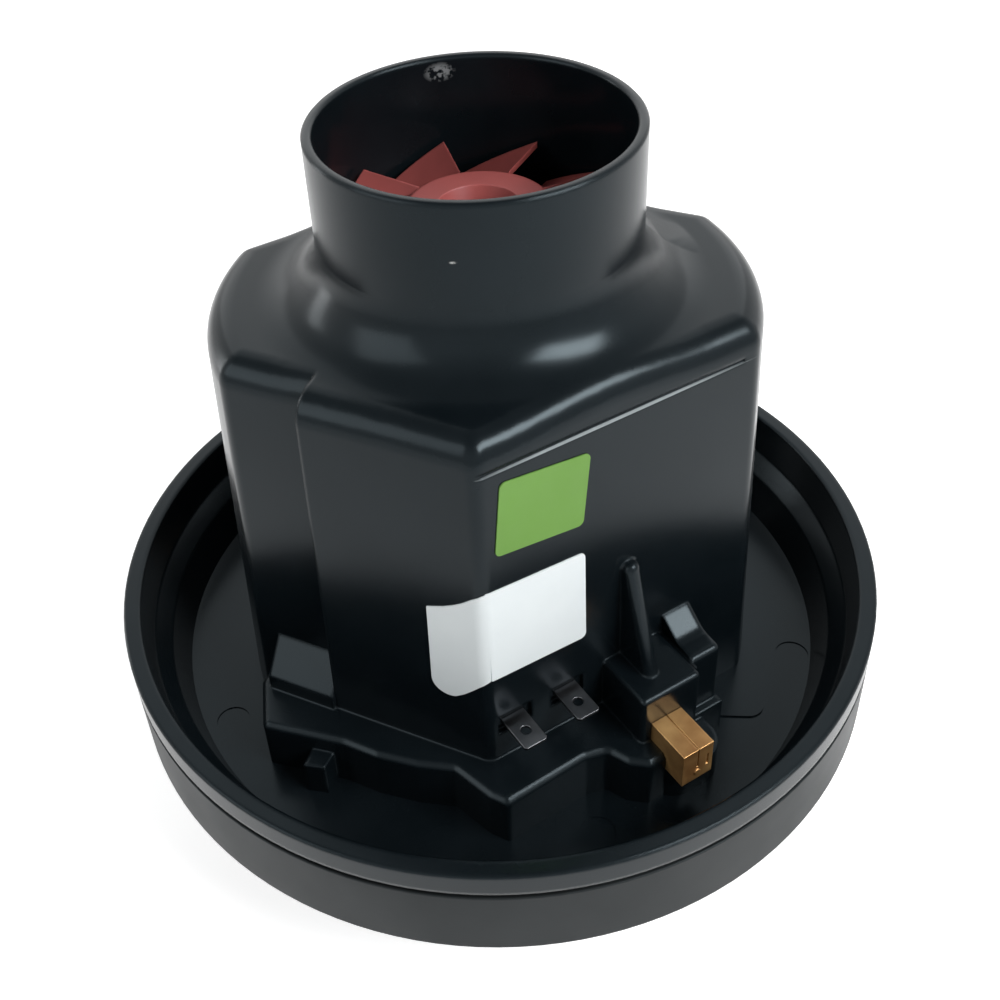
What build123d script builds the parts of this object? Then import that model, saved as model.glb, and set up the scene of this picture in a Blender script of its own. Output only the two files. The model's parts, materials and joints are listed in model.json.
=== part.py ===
from build123d import *
from math import cos, degrees, radians, sin, tan
import os

# Vacuum motor unit: a round cooling chimney on top, a flat-sided motor body, a wide pan with a
# stepped rim, and a working fan case under the pan.
# The motor axis is Z. Height zero is the face that the unit rests on, under the fan case.
# The front wall, with the terminals and the front brush, faces -Y.
# A rise is a height above the rim's flat face, and a drop is a depth below it.

# Main levels
fan_case_depth = 34.0
pan_depth = 29.1
pan_floor_drop = 25.2
pan_floor_thickness = 2.4
platform_drop = 9.8
shoulder_rise = 87.0
chimney_rise = 128.0

# Motor body and chimney
housing_wall = 2.4
chimney_radius = 37.8
chimney_foot_radius = 16.0
chimney_lip_bevel = 0.5
body_radius = 65.5
body_flare = 4.0
front_wall_distance = 51.5
side_wall_distance = 57.3
side_wall_angle = 213.5
wall_draft = 1.5
corner_round = 4.0
shoulder_round = 7.0
inner_shoulder_round = 3.5
recess_depth = 6.0
recess_start = 18.0
ramp_end = 37.0
ramp_rise = 3.3
ramp_drop = 5.5
ramp_reach = 1.2
trim_line_drop = 8.0
trim_line_height = 1.0
trim_line_depth = 0.4
trim_line_length = 73.0

# Pan and rim
rim_radius = 102.0
rim_wall = 4.4
rim_band_height = 6.6
neck_step = 2.7
neck_drop = 11.5
pan_heel_step = 7.5
pan_heel_drop = 16.5
pan_foot_step = 11.0
ledge_outer_step = 6.4
ledge_outer_drop = 10.4
ledge_inner_step = 10.5
ledge_inner_drop = 15.0
floor_step = 14.0
rim_bevel = 0.4
mark_depth = 0.3
mark_radius = 4.4
emboss_height = 0.5
emboss_inset = 18.0
emboss_length = 11.7
emboss_width = 8.6
emboss_angle = 296.5
emboss_turn_angle = 324.4

# Round ejector marks on the pan floor, as shares of the floor's radius
mark_shares = [(-0.224, -0.859), (0.656, -0.679), (-0.917, 0.064)]

# Platform on the pan floor, its outline as shares of the floor's radius
platform_shares = [
    (-0.400, 0.100), (-0.727, 0.068), (-0.818, 0.010), (-0.886, -0.142), (-0.722, -0.324),
    (-0.665, -0.415), (-0.585, -0.506), (-0.506, -0.574), (-0.472, -0.700), (-0.444, -0.750),
    (-0.182, -0.742), (-0.120, -0.760), (-0.094, -0.822), (-0.050, -0.862), (0.030, -0.862),
    (0.060, -0.500), (-0.300, -0.400),
]
platform_corner = 1.6
platform_bevel = 1.2
tab_shares = [(-0.836, -0.290), (-0.791, -0.332), (-0.735, -0.295), (-0.780, -0.245)]
tab_drop = 15.0

# Brush block on the front wall, with a copy at the back
brush_offset = 4.7
brush_drop = 9.45
block_left = 2.7
block_right = 14.9
block_reach = 18.4
block_rise = 5.1
block_round = 1.2
block_gap = 0.6
side_block_right = 24.6
side_block_reach = 14.5
side_block_rise = 10.2
side_block_bend = 6.0
side_block_round = 1.6
side_block_sweep = 5.0
shelf_left = 1.0
shelf_right = 18.0
shelf_reach = 27.1
shelf_round = 6.4
shelf_gap = 0.3
step_drop = 13.6
step_reach = 2.2
gusset_width = 4.2
gusset_reach = 5.2
gusset_rise = 35.0
gusset_head = 2.4
gusset_round = 1.9

# Terminals
blade_width = 6.3
blade_thickness = 0.8
blade_reach = 9.3
blade_tail = 12.0
blade_hole_radius = 1.3
blade_hole_inset = 4.7
blade_tip_chamfer = 0.6
blade_rise = 1.5
blade_clearance = 0.1
left_blade_x = -28.6
right_blade_x = -13.4
pocket_width = 9.6
pocket_height = 5.6
pocket_depth = 1.2

# Cooling air slots in the rear wall
vent_width = 3.2
vent_height = 22.0
vent_starts = (4.8, 10.0, 15.2, 26.0, 31.2)

# Skirt shell and seal round the pan
seal_height = 1.6
seal_inset = 1.0
skirt_clearance = 0.2
skirt_floor = 1.5
skirt_foot_width = 18.0
skirt_bevel = 1.0

# Fan case
bracket_thickness = 3.0
case_radius = 72.4
case_wall = 1.5
case_corner = 5.0
eye_radius = 21.0
eye_lip_height = 3.0
window_count = 8
window_width = 37.0
window_height = 8.0
bracket_screw_inset = 9.9
bracket_screw_angle = 318.5
bracket_screw_spread_angle = 28.0
screw_radius = 2.0
screw_head_radius = 3.4
screw_head_height = 2.0
screw_slot = 0.8
screw_clearance = 0.15
screw_boss_radius = 4.6
screw_boss_height = 13.0
screw_length = 13.0

# Working fan and its guide vanes
impeller_room = 10.4
impeller_gap = 2.4
impeller_plate = 1.4
impeller_depth = 15.8
impeller_tip_depth = 10.4
impeller_blade_count = 7
impeller_blade_sweep = -58.0
impeller_blade_thickness = 1.2
impeller_eye_radius = 24.0
impeller_hub_radius = 9.0
impeller_hub_depth = 6.0
diffuser_room = 5.0
diffuser_plate = 2.0
diffuser_height = 9.4
diffuser_hole_radius = 9.5
diffuser_vane_count = 9
diffuser_vane_inner = 26.0
diffuser_vane_sweep = 44.0
diffuser_vane_thickness = 2.0
vane_bow_share = 0.36

# Shaft, bearings and nuts
shaft_radius = 4.0
nose_radius = 2.5
nose_show = 1.2
nose_chamfer = 0.5
fit_clearance = 0.05
bearing_radius = 11.0
bearing_height = 7.0
bearing_groove = 0.8
bearing_race = 2.0
shaft_hole_radius = 7.5
spacer_radius = 6.4
washer_height = 0.6
washer_width = 2.4
nut_flats = 8.0
nut_height = 4.5

# Motor stack and windings
stack_rise = 16.0
stack_height = 38.0
stack_radius = 49.8
stack_half_depth = 43.0
yoke_width = 6.5
pole_half_width = 13.5
pole_shoe_thickness = 6.0
pole_shoe_half_angle = 60.0
rotor_radius = 23.0
air_gap = 0.6
rotor_slot_count = 12
rotor_slot_width = 2.4
rotor_slot_depth = 6.0
winding_step = 2.5
winding_height = 12.0
winding_round = 4.0
coil_clearance = 0.3
coil_side = 10.0
coil_overhang = 9.6
coil_bevel = 2.4
rib_width = 4.0
rib_x = 22.0
rib_step = 3.0
rib_foot_drop = 16.0
rib_clearance = 0.2

# Commutator and brushes
commutator_radius = 14.0
commutator_drop = 19.8
commutator_height = 20.4
commutator_bars = 20
bar_slit = 0.5
bar_slit_depth = 1.0
riser_radius = 16.0
riser_height = 2.0
brush_width = 7.6
brush_height = 9.5
brush_length = 27.0
brush_play = 0.1
brush_gap = 0.3
holder_wall = 0.6
holder_reach = 30.5
holder_back = 18.0
holder_fit = 0.05
holder_seam = 0.4
holder_seam_depth = 0.3
stud_radius = 0.9
stud_height = 0.3
stud_rise = 2.6
latch_width = 0.7
latch_height = 4.0
latch_inset = 1.2
spring_radius = 3.0
spring_wire = 0.8
spring_turns = 4

# Upper bearing bridge
bridge_top_rise = 84.0
bridge_hub_wall = 3.0
bridge_hub_height = 10.0
bridge_lip = 2.0
bridge_arm_height = 6.0
bridge_arm_width = 14.0
bridge_leg_depth = 7.0
bridge_bevel = 1.2
bridge_screw_bite = 20.0

# Cooling fan
cooler_drop = 21.0
cooler_hub_radius = 17.2
cooler_hub_height = 14.0
cooler_hub_round = 1.2
cooler_boss_radius = 6.4
cooler_tip_gap = 1.6
cooler_vane_count = 9
cooler_vane_height = 12.0
cooler_vane_thickness = 1.6
cooler_vane_angle = 36.0
cooler_vane_first_angle = 72.3
cooler_recess_radius = 9.6
cooler_recess_floor = 7.0
cooler_recess_depth = 6.2

# Labels, bare
label_thickness = 0.3
label_corner = 1.5
green_label_width = 23.2
green_label_height = 19.6
green_label_x = -18.7
green_label_rise = 64.0
green_label_tilt = 6.4
white_label_height = 28.0
white_label_rise = 32.0
white_label_low_corner = 4.5

# The white label's outlines on the front wall and on the side wall, as shares of its height,
# counted from the corner between the walls and from the label's middle level
white_front_shares = [(0.040, 0.500), (0.040, -0.492), (0.986, -0.529), (0.986, 0.443)]
white_flap_shares = [
    (-0.030, 0.500), (0.020, 0.480), (0.100, 0.430), (0.180, 0.362), (0.264, 0.307),
    (0.360, 0.258), (0.500, 0.207), (0.500, -0.836), (0.280, -0.764), (0.200, -0.705),
    (0.132, -0.640), (0.050, -0.555), (-0.030, -0.490),
]

# Angles and cutting room shared by all pieces
half_turn = 180.0
quarter_turn = 90.0
front_angle = 270.0
overrun = 20.0

# Levels and places worked out from the sizes above
rim_inner_radius = rim_radius - rim_wall
neck_radius = rim_radius - neck_step
pan_heel_radius = rim_radius - pan_heel_step
pan_foot_radius = rim_radius - pan_foot_step
ledge_outer_radius = rim_radius - ledge_outer_step
ledge_inner_radius = rim_radius - ledge_inner_step
floor_radius = rim_radius - floor_step
emboss_ring = floor_radius - emboss_inset
skirt_inner_radius = rim_radius - skirt_foot_width
block_front = front_wall_distance + block_reach
side_block_front = front_wall_distance + side_block_reach
shelf_front = front_wall_distance + shelf_reach
holder_front = front_wall_distance + holder_reach
bracket_screw_ring = case_radius - bracket_screw_inset
impeller_radius = case_radius - impeller_room
diffuser_radius = case_radius - diffuser_room
winding_radius = rotor_radius - winding_step
cooler_tip_radius = chimney_radius - housing_wall - cooler_tip_gap
pan_base_z = fan_case_depth
rim_z = pan_base_z + pan_depth
floor_z = rim_z - pan_floor_drop
floor_under_z = floor_z - pan_floor_thickness
platform_z = rim_z - platform_drop
shoulder_z = rim_z + shoulder_rise
chimney_z = rim_z + chimney_rise
chimney_foot_z = shoulder_z + chimney_foot_radius
stack_z = rim_z + stack_rise
stack_top_z = stack_z + stack_height
brush_z = rim_z - brush_drop
holder_width = brush_width + 2 * (brush_play + holder_wall)
holder_height = brush_height + 2 * (brush_play + holder_wall)
bracket_z = floor_under_z - bracket_thickness
diffuser_z = bracket_z - diffuser_height
impeller_top_z = diffuser_z - diffuser_plate - impeller_gap
impeller_z = impeller_top_z - impeller_depth
lower_bearing_z = bracket_z
upper_bearing_z = rim_z + bridge_top_rise - bridge_lip - bearing_height
cooler_top_z = chimney_z - cooler_drop
cooler_floor_z = cooler_top_z - cooler_recess_depth
impeller_hub_z = impeller_top_z - impeller_hub_depth
shaft_low_z = impeller_hub_z - nut_height - nose_show
shaft_high_z = cooler_floor_z + nut_height + nose_show
bridge_leg_y = stack_half_depth - bridge_leg_depth / 2

low_centre = (Align.CENTER, Align.CENTER, Align.MIN)
low_corner = (Align.MIN, Align.MIN, Align.MIN)


def polar(radius, angle):
    """Point at a radius and an angle in degrees about the motor axis."""
    return (radius * cos(radians(angle)), radius * sin(radians(angle)))


def turned(*points):
    """Solid turned about the motor axis from a closed outline of radius and height pairs."""
    outline = Polyline(*points, close=True)
    return revolve(Plane.XZ * make_face(outline.edges()), Axis.Z)


def tube(outer_radius, inner_radius, low_z, high_z):
    """Ring with square edges about the motor axis."""
    return turned(
        (inner_radius, low_z), (outer_radius, low_z), (outer_radius, high_z), (inner_radius, high_z)
    )


def disc(radius, low_z, high_z, place=(0, 0)):
    """Upright cylinder between two heights."""
    return Pos(place[0], place[1], low_z) * Cylinder(radius, high_z - low_z, align=low_centre)


def block(low, high):
    """Box between two corners."""
    size = [b - a for a, b in zip(low, high)]
    return Pos(*low) * Box(*size, align=low_corner)


def turn(shape, angle):
    """Shape turned about the motor axis."""
    return Rot(0, 0, angle) * shape


def ring_of(shape, count, first_angle=0.0):
    """Copies of a shape spaced evenly about the motor axis."""
    step = 2 * half_turn / count
    return [turn(shape, first_angle + step * k) for k in range(count)]


def side_profile(points, low_x, high_x):
    """Outline of Y and Z pairs carried from one X to another."""
    outline = Polyline(*points, close=True)
    face = Plane.YZ * make_face(outline.edges())
    return Pos(low_x, 0, 0) * extrude(face, high_x - low_x)


def plan_prism(points, low_z, high_z):
    """Outline in plan, given as shares of the pan floor's radius, raised between two heights."""
    outline = Polyline(*[(floor_radius * x, floor_radius * y) for x, y in points], close=True)
    return Pos(0, 0, low_z) * extrude(make_face(outline.edges()), high_z - low_z)


def wall_distance(distance, z):
    """Distance of a drafted wall from the axis at a height."""
    return distance + (shoulder_z - z) * tan(radians(wall_draft))


def outside_wall(angle, distance):
    """Everything outside one drafted flat wall of the body."""
    span = 2 * chimney_z
    slab = Box(span, span, span, align=(Align.MIN, Align.CENTER, Align.CENTER))
    return turn(Pos(distance, 0, shoulder_z) * Rot(0, -wall_draft, 0) * slab, angle)


def body_block(side_distance, inset):
    """Chimney, shoulder and drafted body as one solid, drawn in from the outside by an inset."""
    flare_slope = body_flare / (shoulder_z - floor_under_z)
    top_radius = body_radius - inset
    top_z = shoulder_z - inset
    low_z = floor_under_z - inset
    tube_radius = chimney_radius - inset
    sweep_radius = chimney_foot_radius + inset
    centre_radius = chimney_radius + chimney_foot_radius
    centre_z = shoulder_z + chimney_foot_radius
    reach = sweep_radius * cos(radians(half_turn / 4))
    outline = Polyline(
        (0, low_z), (top_radius + flare_slope * (top_z - low_z), low_z),
        (top_radius, top_z), (centre_radius, top_z),
    )
    outline += ThreePointArc(
        (centre_radius, top_z), (centre_radius - reach, centre_z - reach), (tube_radius, centre_z)
    )
    end_z = chimney_z + inset
    outline += Polyline((tube_radius, centre_z), (tube_radius, end_z), (0, end_z), (0, low_z))
    solid = revolve(Plane.XZ * make_face(outline.edges()), Axis.Z)
    for extra in (0, half_turn):
        solid -= outside_wall(front_angle + extra, front_wall_distance - inset)
        solid -= outside_wall(side_wall_angle + extra, side_distance - inset)
    solid = fillet([e for e in solid.edges() if is_upright(e)], corner_round - inset)
    crest = [e for e in solid.edges() if is_crest(e, top_z)]
    return fillet(crest, inner_shoulder_round if inset > 0 else shoulder_round - inset)


def is_upright(edge):
    """True for an upright corner of the body."""
    size = edge.bounding_box().size
    place = edge.center()
    outside = place.X ** 2 + place.Y ** 2 > chimney_radius ** 2
    return outside and size.Z > shoulder_rise and size.X + size.Y < shoulder_rise


def is_crest(edge, top_z):
    """True for an edge round the top of the body, outside the chimney's foot."""
    box = edge.bounding_box()
    place = edge.center()
    outside = place.X ** 2 + place.Y ** 2 > (front_wall_distance - corner_round) ** 2
    return outside and box.min.Z > top_z - corner_round and box.max.Z < top_z + corner_round


def body_form(inset):
    """Body with the recess that runs down one end of each side wall."""
    span = 2 * chimney_z
    form = body_block(side_wall_distance, inset)
    lean = body_block(side_wall_distance - recess_depth, inset)
    region = block((side_wall_distance / 2, -span, -span), (span, inset - recess_start, span))
    for extra in (0, half_turn):
        side = turn(region, side_wall_angle + extra)
        form = (form - side) + (lean & side)
    return form


def pan():
    """Pan with its stepped inside, its flat rim and the neck that the skirt fits on."""
    solid = turned(
        (0, floor_under_z), (pan_foot_radius, floor_under_z),
        (pan_heel_radius, rim_z - pan_heel_drop), (neck_radius, rim_z - neck_drop),
        (neck_radius, rim_z - rim_band_height), (rim_radius, rim_z - rim_band_height),
        (rim_radius, rim_z), (rim_inner_radius, rim_z),
        (ledge_outer_radius, rim_z - ledge_outer_drop),
        (ledge_inner_radius, rim_z - ledge_inner_drop), (floor_radius, floor_z), (0, floor_z),
    )
    rims = [e for e in solid.edges() if e.center().Z > rim_z - rim_bevel]
    return chamfer(rims, rim_bevel)


def platform():
    """Raised platform round the left of the body, with the low tab at its edge."""
    solid = plan_prism(platform_shares, floor_under_z, platform_z)
    uprights = solid.edges().filter_by(Axis.Z)
    solid = fillet(uprights, platform_corner)
    solid = chamfer(solid.faces().sort_by(Axis.Z)[-1].edges(), platform_bevel)
    return solid + plan_prism(tab_shares, floor_under_z, rim_z - tab_drop)


def recess_ramp():
    """Sloped block that closes the foot of a side wall's recess."""
    back = side_wall_distance - recess_depth - housing_wall
    front = wall_distance(side_wall_distance, rim_z) + ramp_reach
    seat = wall_distance(side_wall_distance - recess_depth, rim_z)
    points = [
        (back, floor_under_z), (front, floor_under_z), (front, rim_z - ramp_drop),
        (seat, rim_z + ramp_rise), (back, rim_z + ramp_rise),
    ]
    outline = Polyline(*points, close=True)
    wedge = extrude(Plane.XZ * make_face(outline.edges()), ramp_end - recess_start)
    return turn(Pos(0, -recess_start, 0) * wedge, side_wall_angle)


def brush_block():
    """Front brush block: guide block, side block, step, shelf and the gusset up the wall."""
    wall = front_wall_distance - housing_wall
    block_z = rim_z + block_rise
    guide = block((-block_left, -block_front, floor_under_z), (block_right, -wall, block_z))
    guide = fillet([e for e in guide.edges() if e.center().Y < -wall - overrun / 2
                    and e.center().Z > floor_z + overrun / 2], block_round)
    side_left = block_right + block_gap
    join_front = block_front - housing_wall
    join = block((block_right, -join_front, floor_under_z), (side_left, -wall, block_z - block_gap))
    step_front = side_block_front + step_reach
    step_z = rim_z - step_drop
    step = block((side_left, -step_front, floor_under_z), (side_block_right, -wall, step_z))
    shelf_z = brush_z - holder_height / 2 - shelf_gap
    shelf = block((-shelf_left, -shelf_front, floor_under_z), (shelf_right, -wall, shelf_z))
    corners = shelf.edges().filter_by(Axis.Z)
    shelf = fillet([e for e in corners if e.center().Y < -block_front], shelf_round)
    return guide + side_block(side_left, wall) + join + step + shelf + gusset(wall)


def side_block(left, wall):
    """Block beside the brush guide, its top swept up to the wall, with rounded edges."""
    low_z = rim_z + block_rise
    high_z = rim_z + side_block_rise
    foot = wall_distance(front_wall_distance, rim_z)
    solid = side_profile(
        [(-side_block_front, floor_under_z), (-side_block_front, low_z),
         (-foot - side_block_bend, low_z + block_gap), (-foot, high_z), (-wall, high_z),
         (-wall, floor_under_z)],
        left, side_block_right,
    )
    bend = [e for e in solid.edges().filter_by(Axis.X)
            if abs(e.center().Y + foot + side_block_bend) < block_gap / 2]
    solid = fillet(bend, side_block_sweep)
    right = [e for e in solid.edges() if e.center().X > side_block_right - block_gap
             and e.center().Y < -wall - block_gap and e.center().Z > floor_z]
    front = [e for e in solid.edges().filter_by(Axis.X) if e.center().Y < -side_block_front + block_gap
             and e.center().Z > floor_z]
    return fillet(right + front, side_block_round)


def gusset(wall):
    """Rounded finger that stiffens the front wall above the brush guide."""
    low_z = rim_z + block_rise
    high_z = rim_z + gusset_rise
    foot = block_front - gusset_reach
    head = wall_distance(front_wall_distance, high_z) + gusset_head
    solid = side_profile(
        [(-foot, low_z), (-head, high_z), (-wall, high_z), (-wall, low_z)],
        brush_offset - gusset_width / 2, brush_offset + gusset_width / 2,
    )
    outer = [e for e in solid.edges() if e.center().Z > low_z + block_gap
             and e.center().Y < -wall - block_gap]
    return fillet(outer, gusset_round)


def brush_tunnel():
    """Space that the front brush holder fills in its block."""
    half_x = holder_width / 2 + holder_fit
    half_z = holder_height / 2 + holder_fit
    return block(
        (brush_offset - half_x, -holder_front, brush_z - half_z),
        (brush_offset + half_x, -holder_back, brush_z + half_z),
    )


def inner_ribs():
    """Ribs inside the front and back walls that hold the stator stack and carry its foot."""
    face = stack_half_depth + rib_clearance
    ribs = []
    for x in (-rib_x, rib_x):
        for low_z, reach in ((rim_z - rib_foot_drop, face - rib_step), (stack_z, face)):
            wall = wall_distance(front_wall_distance, stack_top_z) - housing_wall / 2
            high_z = stack_z if low_z < stack_z else stack_top_z
            slab = block((x - rib_width / 2, reach, low_z), (x + rib_width / 2, wall, high_z))
            ribs += [slab, turn(slab, half_turn)]
    return ribs


def whole_moulding():
    """Chimney, body, brush blocks, platform, pan and rim before they are parted into nodes."""
    solid = pan() + platform() + body_form(0)
    for extra in (0, half_turn):
        solid += turn(brush_block(), extra)
        solid += turn(recess_ramp(), extra)
    solid -= body_form(housing_wall)
    for rib in inner_ribs():
        solid += rib
    boss_top = floor_under_z + screw_boss_height
    for place in bracket_screw_places():
        solid += disc(screw_boss_radius, floor_under_z, boss_top, place)
    hole_top = bracket_z + screw_length + screw_clearance
    for place in bracket_screw_places():
        solid -= disc(screw_radius + screw_clearance, bracket_z, hole_top, place)
    for extra in (0, half_turn):
        solid -= turn(brush_tunnel(), extra)
    solid = cut_terminals(solid)
    solid = cut_vents(solid)
    solid = cut_trim_line(solid)
    for x, y in mark_shares:
        place = (floor_radius * x, floor_radius * y)
        solid -= disc(mark_radius, floor_z - mark_depth, floor_z + mark_depth, place)
    return solid


def housing_nodes():
    """The moulding parted where its chimney, its body and its pan meet."""
    whole = whole_moulding()
    top = disc(neck_radius, chimney_foot_z, chimney_z)
    middle = disc(floor_radius - rim_wall, floor_z, chimney_foot_z)
    tower = whole & top
    lips = [e for e in tower.edges() if e.center().Z > chimney_z - chimney_lip_bevel]
    return {
        "chimney": chamfer(lips, chimney_lip_bevel),
        "motor_housing": whole & middle,
        "rim_pan": whole - top - middle + emboss(),
    }


def cut_terminals(solid):
    """Slots and shallow pockets of the two blade terminals in the front wall."""
    blade_z = rim_z + blade_rise
    wall = wall_distance(front_wall_distance, blade_z)
    for x in (left_blade_x, right_blade_x):
        half_x = blade_width / 2 + blade_clearance
        half_z = blade_thickness / 2 + blade_clearance
        solid -= block((x - half_x, -wall - blade_reach, blade_z - half_z),
                       (x + half_x, blade_tail - wall, blade_z + half_z))
        solid -= block((x - pocket_width / 2, -wall - blade_reach, blade_z - pocket_height / 2),
                       (x + pocket_width / 2, pocket_depth - wall, blade_z + pocket_height / 2))
    return solid


def cut_vents(solid):
    """Upright slots in the rear wall, clear of the inner ribs, that let the cooling air out."""
    wall = front_wall_distance - 2 * housing_wall
    low_z = rim_z + side_block_rise
    for x in vent_starts:
        solid -= block((x, wall, low_z), (x + vent_width, wall + overrun, low_z + vent_height))
    return solid


def cut_trim_line(solid):
    """Fine level groove under the shoulder of the front wall."""
    z = shoulder_z - trim_line_drop
    face = wall_distance(front_wall_distance, z) - trim_line_depth
    half = trim_line_length / 2
    return solid - block((-half, -face - overrun, z - trim_line_height), (half, -face, z))


def emboss():
    """Raised tongue on the pan floor, beside the brush block."""
    place = polar(emboss_ring, emboss_angle)
    outline = Rot(0, 0, emboss_turn_angle) * SlotCenterToCenter(emboss_length, emboss_width)
    solid = extrude(outline, pan_floor_thickness / 2 + emboss_height)
    return Pos(*place, floor_z - pan_floor_thickness / 2) * solid


def rim_seal():
    """Seal between the rim band and the skirt."""
    low_z = rim_z - rim_band_height - seal_height
    return tube(rim_radius - seal_inset, neck_radius, low_z, rim_z - rim_band_height)


def lower_shell():
    """Skirt that carries on the rim's side below the seal, with an inward foot."""
    top_z = rim_z - rim_band_height - seal_height
    inner = neck_radius + skirt_clearance
    solid = turned(
        (skirt_inner_radius, pan_base_z), (rim_radius, pan_base_z), (rim_radius, top_z),
        (inner, top_z), (inner, pan_base_z + skirt_floor),
        (skirt_inner_radius, pan_base_z + skirt_floor),
    )
    foot = [e for e in solid.edges() if e.center().Z < pan_base_z + skirt_floor / 2
            and e.radius > rim_inner_radius]
    return chamfer(foot, skirt_bevel)


def bracket_screw_places():
    """Places of the bracket's four screws, in two pairs across the axis."""
    angles = (bracket_screw_angle, bracket_screw_angle + bracket_screw_spread_angle)
    return [polar(bracket_screw_ring, a + extra) for extra in (0, half_turn) for a in angles]


def fan_bracket():
    """Plate under the body that closes it and carries the lower bearing in a cup."""
    seat = bearing_radius + fit_clearance
    cup = seat + case_wall
    roof_z = lower_bearing_z + bearing_height + washer_height
    solid = turned(
        (seat, bracket_z), (case_radius - fit_clearance, bracket_z),
        (case_radius - fit_clearance, floor_under_z), (cup, floor_under_z),
        (cup, roof_z + case_wall), (shaft_hole_radius, roof_z + case_wall),
        (shaft_hole_radius, roof_z), (seat, roof_z),
    )
    head_room = screw_head_radius + screw_clearance
    for place in bracket_screw_places():
        solid -= disc(screw_radius + screw_clearance, bracket_z, floor_under_z, place)
        solid -= disc(head_room, bracket_z, bracket_z + screw_head_height, place)
    return solid


def screw(length):
    """Round-headed screw with a driver slot, standing head down, its seat at height zero."""
    solid = disc(screw_head_radius, -screw_head_height, 0)
    solid += disc(screw_radius, -screw_head_height / 2, length)
    slot = block((-screw_head_radius, -screw_slot / 2, -screw_head_height),
                 (screw_head_radius, screw_slot / 2, -screw_head_height / 2))
    return solid - slot


def bracket_screws():
    """Four screws that hold the bracket against the housing."""
    seat_z = bracket_z + screw_head_height
    one = screw(screw_length - screw_head_height)
    return [Pos(*place, seat_z) * one for place in bracket_screw_places()]


def vane(inner_radius, outer_radius, sweep, thickness, low_z, high_z):
    """Upright curved vane between two radii."""
    middle = (inner_radius + outer_radius) / 2
    bow = sweep * vane_bow_share
    lag = degrees(thickness / middle)
    outline = ThreePointArc(polar(inner_radius, 0), polar(middle, bow), polar(outer_radius, sweep))
    outline += Line(polar(outer_radius, sweep), polar(outer_radius, sweep + lag))
    outline += ThreePointArc(
        polar(outer_radius, sweep + lag), polar(middle, bow + lag), polar(inner_radius, lag)
    )
    outline += Line(polar(inner_radius, lag), polar(inner_radius, 0))
    return Pos(0, 0, low_z) * extrude(make_face(outline.edges()), high_z - low_z)


def diffuser():
    """Fixed guide vanes on a plate above the working fan."""
    solid = tube(diffuser_radius, diffuser_hole_radius, diffuser_z - diffuser_plate, diffuser_z)
    one = vane(diffuser_vane_inner, diffuser_radius, diffuser_vane_sweep, diffuser_vane_thickness,
               diffuser_z - diffuser_plate / 2, bracket_z)
    for copy in ring_of(one & disc(diffuser_radius, 0, bracket_z), diffuser_vane_count):
        solid += copy
    return solid


def fan_cover():
    """Pressed cup over the working fan, with a lipped inlet eye and outlet windows."""
    outer = case_radius + case_wall
    lip_z = case_wall + eye_lip_height
    lip_outer = eye_radius + case_wall
    cup = turned(
        (eye_radius, 0), (outer - case_corner, 0), (outer, case_corner), (outer, floor_under_z),
        (case_radius, floor_under_z), (case_radius, case_wall + case_corner),
        (case_radius - case_corner, case_wall), (lip_outer, case_wall), (lip_outer, lip_z),
        (eye_radius, lip_z),
    )
    window_z = diffuser_z - diffuser_plate / 2
    window = block(
        (case_radius - case_corner, -window_width / 2, window_z),
        (outer + overrun, window_width / 2, window_z + window_height),
    )
    for copy in ring_of(window, window_count):
        cup -= copy
    return cup


def impeller():
    """Closed fan wheel: back plate, curved blades, coned front plate and hub."""
    eye = impeller_eye_radius
    back_under = impeller_top_z - impeller_plate
    tip_z = impeller_top_z - impeller_tip_depth
    cone_z = impeller_z + impeller_plate * 2
    front = turned(
        (eye, impeller_z), (eye, cone_z + impeller_plate), (impeller_radius, tip_z + impeller_plate),
        (impeller_radius, tip_z), (eye + impeller_plate, cone_z), (eye + impeller_plate, impeller_z),
    )
    hole = shaft_radius + fit_clearance
    solid = tube(impeller_radius, hole, back_under, impeller_top_z) + front
    solid += tube(impeller_hub_radius, hole, impeller_hub_z, impeller_top_z)
    channel = turned(
        (eye, impeller_top_z - impeller_plate / 2), (impeller_radius, impeller_top_z - impeller_plate / 2),
        (impeller_radius, tip_z + impeller_plate / 2), (eye, cone_z + impeller_plate / 2),
    )
    one = vane(eye + impeller_plate, impeller_radius, impeller_blade_sweep, impeller_blade_thickness,
               impeller_z, impeller_top_z)
    for copy in ring_of(one & channel, impeller_blade_count):
        solid += copy
    return solid


def impeller_spacer():
    """Sleeve between the lower bearing and the working fan."""
    return tube(spacer_radius, shaft_radius + fit_clearance, impeller_top_z, lower_bearing_z)


def nut(low_z):
    """Hexagon nut on a threaded end of the shaft."""
    corner = nut_flats / 2 / cos(radians(half_turn / 6))
    body = Pos(0, 0, low_z) * extrude(RegularPolygon(corner, 6), nut_height)
    return body - disc(nose_radius + fit_clearance, low_z, low_z + nut_height)


def bearing(low_z):
    """Ball bearing with its two races and the sunk shield between them on its lower side."""
    inner = shaft_radius + fit_clearance
    high_z = low_z + bearing_height
    near, far = inner + bearing_race, bearing_radius - bearing_race
    return turned(
        (inner, low_z), (near, low_z), (near, low_z + bearing_groove), (far, low_z + bearing_groove),
        (far, low_z), (bearing_radius, low_z), (bearing_radius, high_z), (inner, high_z),
    )


def bearing_spring():
    """Washer that loads the lower bearing against its cup's roof."""
    low_z = lower_bearing_z + bearing_height
    return tube(bearing_radius, bearing_radius - washer_width, low_z, low_z + washer_height)


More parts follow.
